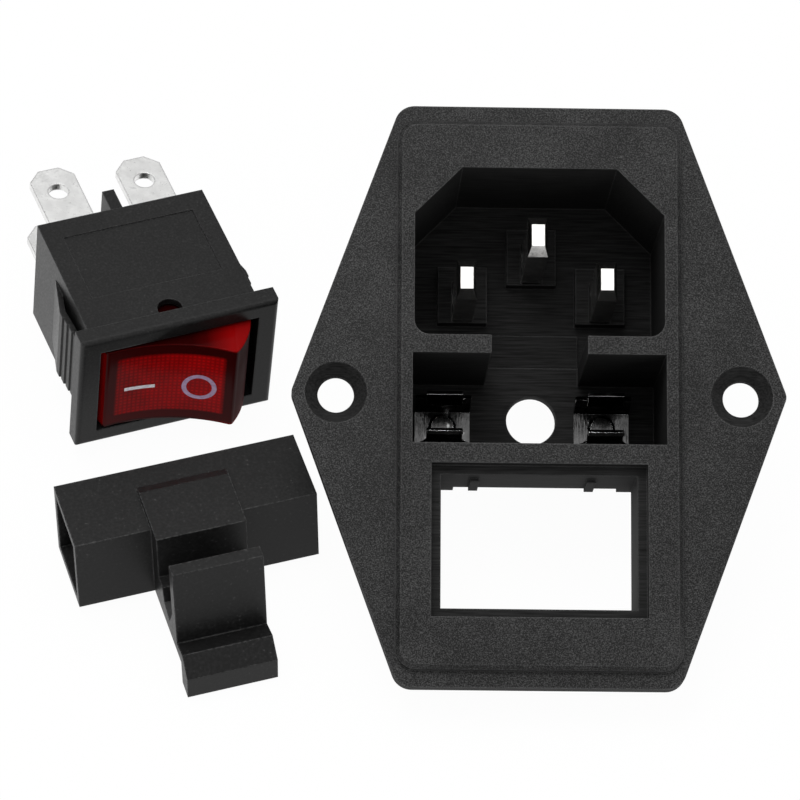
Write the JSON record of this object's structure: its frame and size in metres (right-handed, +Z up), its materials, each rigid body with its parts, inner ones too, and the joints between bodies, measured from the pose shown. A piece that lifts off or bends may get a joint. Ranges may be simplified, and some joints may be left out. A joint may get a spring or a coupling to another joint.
{
  "type": "panel power inlet socket",
  "caption": "Panel power inlet socket with a hexagonal flange, fuse bay and switch window, with its fuse carrier and illuminated rocker switch lying beside it.",
  "frame": {"origin": "on the floor under the centre of the whole layout", "axes": "+X to the right along the flange's screw line, +Z up from the floor, +Y away from the viewer"},
  "size_m": [0.0762, 0.062, 0.03],
  "materials": {
    "housing_black": "fine spark-eroded grain",
    "carrier_black": "satin moulded",
    "switch_black": "satin moulded",
    "pin_metal": "bright nickel plate",
    "clip_metal": "bright tinned spring sheet",
    "rivet_metal": "plated",
    "terminal_metal": "silver plate",
    "rocker_red": "translucent red",
    "plunger_brass": "plain",
    "bridge_metal": "silver plate",
    "spring_steel": "plain",
    "lamp_glass": "clear",
    "resistor_body": "lacquer",
    "lead_wire": "tinned"
  },
  "bodies": {
    "socket": {"inlet_housing": "housing_black", "pin_left": "pin_metal", "pin_right": "pin_metal", "pin_earth": "pin_metal", "fuse_clip_left": "clip_metal", "fuse_clip_right": "clip_metal", "fuse_tag": "clip_metal", "fuse_link": "clip_metal", "clip_rivet_left": "rivet_metal", "clip_rivet_right": "rivet_metal", "fuse_carrier": "carrier_black", "switch_case": "switch_black", "terminal_a_left": "terminal_metal", "terminal_a_right": "terminal_metal", "terminal_b_left": "terminal_metal", "terminal_b_right": "terminal_metal"},
    "rocker": {"rocker": "rocker_red", "plunger_spring_a": "spring_steel", "plunger_spring_b": "spring_steel", "neon_lamp": "lamp_glass", "ballast_resistor": "resistor_body", "lamp_lead_left": "lead_wire", "lamp_lead_right": "lead_wire"},
    "plunger_a": {"plunger_a": "plunger_brass"},
    "plunger_b": {"plunger_b": "plunger_brass"},
    "bridge_a": {"bridge_a": "bridge_metal"},
    "bridge_b": {"bridge_b": "bridge_metal"}
  },
  "joints": [
    {"name": "rocker_tilt", "type": "hinge", "parent": "socket", "child": "rocker", "pos_m": [-0.02321, 0.00716, 0.00829], "axis": [0.0577, 0.0923, 0.9941], "range_deg": [0, 32]},
    {"name": "bridge_a_tilt", "type": "hinge", "parent": "socket", "child": "bridge_a", "pos_m": [-0.02577, 0.01377, 0.00783], "axis": [0.0577, 0.0923, 0.9941], "range_deg": [-16, 0]},
    {"name": "bridge_b_tilt", "type": "hinge", "parent": "socket", "child": "bridge_b", "pos_m": [-0.02577, 0.01377, 0.00783], "axis": [0.0577, 0.0923, 0.9941], "range_deg": [-16, 0]},
    {"name": "plunger_a_press", "type": "slide", "parent": "rocker", "child": "plunger_a", "axis": [0.0903, -0.9921, 0.0869], "range_m": [0, 0.0006], "stiffness_N_per_m": 300, "springref_m": -0.0004, "deforming": ["plunger_spring_a"]},
    {"name": "plunger_b_press", "type": "slide", "parent": "rocker", "child": "plunger_b", "axis": [0.0903, -0.9921, 0.0869], "range_m": [0, 0.0006], "stiffness_N_per_m": 300, "springref_m": -0.0004, "deforming": ["plunger_spring_b"]}
  ],
  "couplings": [
    {"joint": "bridge_a_tilt", "follows": "rocker_tilt", "ratio": -0.5},
    {"joint": "bridge_b_tilt", "follows": "rocker_tilt", "ratio": -0.5}
  ]
}
